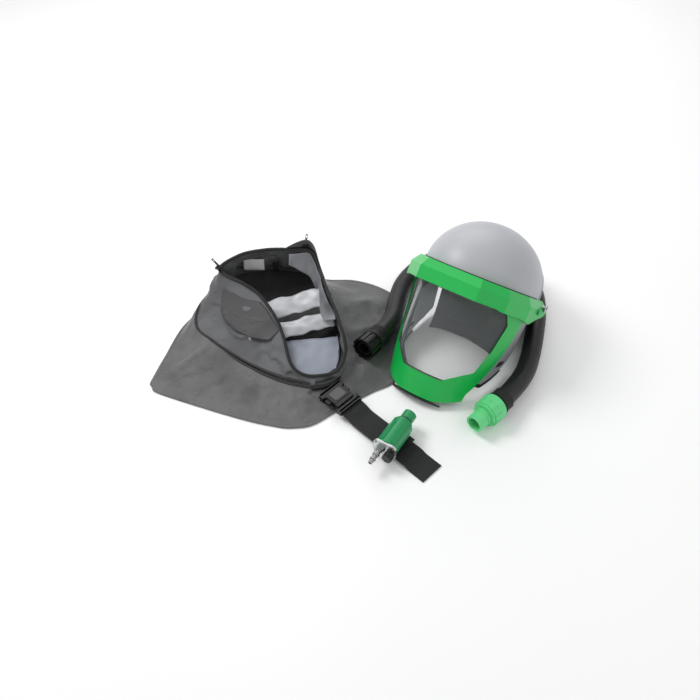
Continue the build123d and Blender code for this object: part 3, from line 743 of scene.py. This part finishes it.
def make_zip_teeth(material):
    """Row of teeth on the tape."""
    teeth = []
    faces = []
    for c in range(TOOTH_COUNT):
        rim, ahead, out = rim_heading(c / TOOTH_COUNT * len(RIM))
        base = len(teeth)
        for along, away, up in TOOTH:
            spot = rim + ahead * along + out * away
            teeth.append(plan(spot.x, spot.y, rim_height(rim.y) + up))
        faces += [[base + q for q in quad] for quad in TOOTH_FACES]
    mesh = bpy.data.meshes.new("zip_teeth")
    mesh.from_pydata(teeth, [], faces)
    mesh.update()
    row = link("zip_teeth", mesh, material)
    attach(row, "cape")


def make_collar_shade_floor(material):
    """Dark sheet that closes the collar underneath, a little lower towards its middle: painted shade inside
    the collar.
    """
    columns, steps = 170, 14
    rows = []
    for r in range(steps + 1):
        v = r / steps * 0.96
        row = []
        for c in range(columns):
            foot = on_loop(FOOT, c / columns * len(FOOT))
            x, y = foot.lerp(Vector(MIDDLE), v)
            edge = foot_height(foot) + 5.0
            crumple = noise.noise(Vector((x * 0.03, y * 0.03, 5.5))) * 2.0 * v
            row.append(plan(x, y, max(2.6, edge * (1 - v) ** 3 + 3.6 + crumple)))
        rows.append(row)
    floor = sheet_mesh("collar_shade_floor", rows, True, material)
    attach(floor, "cape")


LINING_LEAN = 0.29                     # rise of the lining's plane for each millimetre back
LINING_FRONT = (-70, 12)               # y and height of its front edge
LINING_MARGIN = 11.0                   # between the lining's ends and the collar wall
# Lining strips: name, node, corners in the leaning plane, lift off it, wave height, finish
LINING_BANDS = [
    ("lining_back_panel", "lining_panel", [(-178, -58), (20, -58), (20, 80), (-178, 62)], 0.0, 2.0, "panel"),
    ("lining_fold_low", "lining_band_low", [(-190, 52), (0, 104), (0, 140), (-190, 84)], 3.2, 5.0, "satin"),
    ("lining_fold_high", "lining_band_high", [(-200, 92), (-20, 144), (-20, 186), (-200, 132)], 6.6, 6.0,
     "satin"),
]


def lining_place(x, y, lift):
    """A place on the leaning plane inside the collar, in the plan."""
    size = math.hypot(1, LINING_LEAN)
    front, low = LINING_FRONT
    return x, front + y / size, low + lift * size + (y / size) * LINING_LEAN


def collar_ring(height, margin):
    """Outline of the collar's inside at a height, drawn in by a margin."""
    ring = []
    for i in range(len(FOOT) * 12):
        foot = on_loop(FOOT, i / 12)
        rim = on_loop(RIM, i / 12)
        low = foot_height(foot)
        up = max(0.0, min(1.0, (height - low) / (rim_height(rim.y) - low)))
        spot = foot.lerp(rim, up)
        ring.append(spot + (Vector(MIDDLE) - spot).normalized() * margin)
    return ring


def span_at(ring, y):
    """Leftmost and rightmost x of an outline at y."""
    hits = []
    for a, b in zip(ring, ring[1:] + ring[:1]):
        if (a.y - y) * (b.y - y) <= 0 and a.y != b.y:
            hits.append(a.x + (b.x - a.x) * (y - a.y) / (b.y - a.y))
    return (min(hits), max(hits)) if hits else (-130.0, -60.0)


def make_band(name, node, corners, lift, wave, material):
    """Loose strip of lining across the opening; its ends tuck under the collar wall."""
    columns, steps = 60, 14
    rows = []
    low_a, low_b, high_b, high_a = corners
    for r in range(steps + 1):
        v = r / steps
        row = []
        for c in range(columns + 1):
            u = c / columns
            a = Vector(low_a).lerp(Vector(low_b), u)
            b = Vector(high_a).lerp(Vector(high_b), u)
            x, y = a.lerp(b, v)
            px, py, pz = lining_place(x, y, lift)
            if c % 6 == 0:
                left, right = span_at(collar_ring(pz, LINING_MARGIN), py)
            px = max(left, min(right, px))
            crown = math.sin(math.pi * v) * wave
            ripple = noise.noise(Vector((px * 0.05, py * 0.09, lift))) * wave
            row.append(plan(px, py, max(2.5, pz + crown + ripple)))
        rows.append(row)
    band = sheet_mesh(name, rows, False, material)
    thicken(band, 0.6 * MM, 0.0)
    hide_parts(node)
    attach(band, "cape")


def make_patch(name, node, material, bow):
    """Label sewn on: a slightly bowed rectangle that fills its node's box."""
    low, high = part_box(node)

    def place(u, v):
        x = low.x + (high.x - low.x) * u
        y = low.y + (high.y - low.y) * (0.35 + 0.4 * v)
        y -= bow * math.sin(math.pi * u) * math.sin(math.pi * v)
        return Vector((x, y, low.z + (high.z - low.z) * v))

    patch = sheet_mesh(name, grid(16, 8, place), False, material)
    thicken(patch, 0.5 * MM, 0.0)
    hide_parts(node)
    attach(patch, "cape")


# ------------------------------------------------------------------ straps and pads
WEB_LINE = [(17, 11.4), (29, 11.4), (62, 4.2), (172, 4.2), (186, 0.4), (216, 0.2)]
STUB_LINE = [(-31, 7.4), (-22.6, 7.4)]
WEB_WIDTH = 47.0
WEB_T = 1.8
CROWN_HALF = 10
CROWN_T = 1.4
HEAD_Y = 4                             # middle of the headband, behind the shell's middle
CROWN_LOW = -13                        # the crown straps' ends on the headband
PAD_AT = (76.6, 93.6, -28)             # half width, half length and height of the pad's middle line
PAD_HALF = (3.3, 15.4)                 # half thickness and half height
PAD_CHANNELS = 6


def strap_profile(half, thick):
    """Outline of a woven strap's cut end: flat faces and rounded selvedges."""
    edge = half - 1.4
    turn = half - 0.3
    return [(-edge, thick), (edge, thick), (turn, thick * 0.82), (half, thick * 0.5),
            (turn, thick * 0.18), (edge, 0.0), (-edge, 0.0), (-turn, thick * 0.18),
            (-half, thick * 0.5), (-turn, thick * 0.82)]


def make_strap(name, node, line, body, material):
    """Belt webbing swept over points in x, z; each step between two heights is eased."""
    smooth = []
    for (x0, z0), (x1, z1) in zip(line, line[1:]):
        count = max(2, int(abs(x1 - x0) / 3))
        for i in range(count):
            s = i / count
            ease = s * s * (3 - 2 * s)
            smooth.append((x0 + (x1 - x0) * s, z0 + (z1 - z0) * ease))
    smooth.append(line[-1])
    profile = strap_profile(WEB_WIDTH / 2, WEB_T)
    rows = [[on_belt(x, y, z + up) for y, up in profile] for x, z in smooth]
    strap = sheet_mesh(name, rows, True, material)
    mesh = strap.data
    count = len(profile)
    fill = bpy.data.meshes.new(name)
    last = (len(rows) - 1) * count
    caps = [tuple(range(count)), tuple(range(last + count - 1, last - 1, -1))]
    walls = [tuple(p.vertices) for p in mesh.polygons]
    fill.from_pydata([v.co[:] for v in mesh.vertices], [], walls + caps)
    fill.materials.append(material)
    strap.data = fill
    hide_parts(node)
    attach(strap, body)


def make_arch(name, node, reach, height, sideways, material):
    """Crown strap: a ribbon bent over the head from one side of the band to the other."""
    rows = []
    for i in range(49):
        turn = math.radians(-10 + 200 * i / 48)
        out = reach * math.cos(turn)
        up = height * math.sin(turn)
        if up < CROWN_LOW:
            continue
        row = []
        for y, thick in strap_profile(CROWN_HALF, CROWN_T):
            r = (reach - CROWN_T + thick) / reach
            place = (out * r, HEAD_Y + y, up * r) if sideways else (y, HEAD_Y + out * r, up * r)
            row.append(on_helmet(*place))
        rows.append(row)
    strap = sheet_mesh(name, rows, True, material)
    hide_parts(node)
    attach(strap, "helmet")


def make_brow_pad(material):
    """Sewn pad inside the front of the headband: a crowned tube, pinched along its stitched channels."""
    rows = []
    start, end = math.radians(210), math.radians(330)
    for i in range(81):
        s = i / 80
        turn = start + (end - start) * s
        stitch = math.exp(-(((s * PAD_CHANNELS) % 1.0 - 0.5) / 0.10) ** 2)
        pinch = 1.0 - 0.35 * stitch if 0.05 < s < 0.95 else 0.8
        taper = min(1.0, 6 * min(s, 1 - s) + 0.25)
        row = []
        for k in range(20):
            a = math.tau * k / 20
            inward = 3.5 + PAD_HALF[0] * math.cos(a) * pinch * taper
            up = PAD_AT[2] + PAD_HALF[1] * math.sin(a) * (0.85 + 0.15 * taper)
            ra, rb = PAD_AT[0] - inward, PAD_AT[1] - inward
            row.append(on_helmet(ra * math.cos(turn), HEAD_Y + rb * math.sin(turn), up))
        rows.append(row)
    pad = sheet_mesh("brow_pad_cushion", rows, True, material)
    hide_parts("brow_pad")
    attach(pad, "helmet")


CURTAIN_TOP = (98, 4, 124, -25)        # half width, middle y, half length and height inside the shell's rim
CURTAIN_LOW = (78, 6, 34, -118)        # the same for its free edge on the table
CURTAIN_SPAN = (22, 136)               # degrees around the back of the head: first place and sweep
CURTAIN_REST = 3.0 * MM                # lowest it lies


def curtain_edge(edge, turn):
    """Place on an edge of the curtain at a turn around the head."""
    half_width, middle, half_length, height = edge
    return on_helmet(half_width * math.cos(turn), middle + half_length * math.sin(turn), height)


def make_nape_curtain(material):
    """Near-black sheet from the shell's rear rim, lying forward on the table under the head opening: painted
    shade of the helmet's inside, seen through the lens.
    """
    first, sweep = CURTAIN_SPAN
    columns, steps = 60, 22
    rows = []
    for r in range(steps + 1):
        v = r / steps
        row = []
        for c in range(columns + 1):
            turn = math.radians(first + sweep * c / columns)
            top = curtain_edge(CURTAIN_TOP, turn)
            spot = top.lerp(curtain_edge(CURTAIN_LOW, turn), v)
            ripple = noise.noise(Vector((turn * 3.0, v * 4.0, 2.2))) * 3.5 * v * MM
            spot.z = max(CURTAIN_REST, top.z * (1 - v) ** 2.2 + CURTAIN_REST + ripple)
            row.append(spot)
        rows.append(row)
    curtain = sheet_mesh("nape_shade_sheet", rows, False, material)
    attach(curtain, "helmet")


# ------------------------------------------------------------------ finishes for the moulded parts
CAD_FINISHES = {
    "shell": ["helmet_shell"],
    "visor": ["visor_frame"],
    "coupling": ["coupling_spigot", "coupling_nut"],
    "valve": ["valve_body", "valve_outlet"],
    "black plastic": ["helmet_end_nut", "helmet_end_spigot", "buckle_female", "buckle_male",
                      "buckle_arm_left", "buckle_arm_right", "belt_bracket", "flow_knob", "ratchet_knob",
                      "guard_clips", "air_inlet"],
    "dark plastic": ["headband", "ratchet_band", "nape_cradle", "face_ring", "crown_liner"],
    "guard": ["side_guard_left", "side_guard_right"],
    "rubber": ["brow_seal", "lens_seal", "shell_trim", "helmet_end_cuff", "valve_end_cuff", "spigot_o_ring",
               "outlet_o_ring", "guard_edges", "webbing_end_seal"],
    "badge": ["buckle_badge"],
    "steel": ["pivot_pins", "air_plug", "lid_screws", "valve_cartridge"],
    "plate": ["valve_lid"],
    "catch": ["visor_catches"],
    "zip": ["zip_slider_a", "zip_slider_b", "zip_pull_a", "zip_pull_b"],
    "lens": ["visor_lens"],
}


def dress_cad(materials):
    """Gives each moulded or turned part its finish."""
    for finish, names in CAD_FINISHES.items():
        for name in names:
            data = NODES[name].data
            data.materials.clear()
            data.materials.append(materials[finish])


TABLE_HALF = 6
TABLE_DROP = 0.0004                    # so that the table and what lies on it don't share a plane


def lay_table():
    mesh = bpy.data.meshes.new("table")
    corners = [(x * TABLE_HALF, y * TABLE_HALF, 0) for x, y in ((-1, -1), (1, -1), (1, 1), (-1, 1))]
    mesh.from_pydata(corners, [], [(0, 1, 2, 3)])
    f = Finish("pale table", Roughness=0.7)
    f.colour(f.blend(f.noise(2.0, 2.0), shade(250, 250, 250), shade(246, 246, 247)))
    table = link("table", mesh, f.material)
    table.location.z = -TABLE_DROP


def main():
    set_camera()
    light_studio()
    materials = make_finishes()
    tube_line = make_tube(materials["hose"])
    dress_cad(materials)
    make_skirt(materials["cape"], tube_line)
    make_collar(materials["collar"])
    make_zip_tape(materials["zip"])
    make_zip_teeth(materials["black plastic"])
    make_cape_details(materials)
    make_collar_shade_floor(materials["lining"])
    for name, node, corners, lift, wave, finish in LINING_BANDS:
        make_band(name, node, corners, lift, wave, materials[finish])
    make_patch("care_label_patch", "care_label", materials["label"], 0.002)
    make_patch("size_tab_patch", "size_tab", materials["zip"], 0.0005)
    make_strap("belt_strap", "belt_webbing", WEB_LINE, "belt", materials["webbing"])
    make_strap("buckle_strap_end", "webbing_stub", STUB_LINE, "buckle", materials["webbing"])
    make_arch("crown_strap_side", "crown_strap_cross", 79.5, 87.6, True, materials["strap"])
    make_arch("crown_strap_front", "crown_strap_long", 96.5, 90.4, False, materials["strap"])
    make_brow_pad(materials["pad"])
    make_nape_curtain(materials["lining"])
    lay_table()


main()
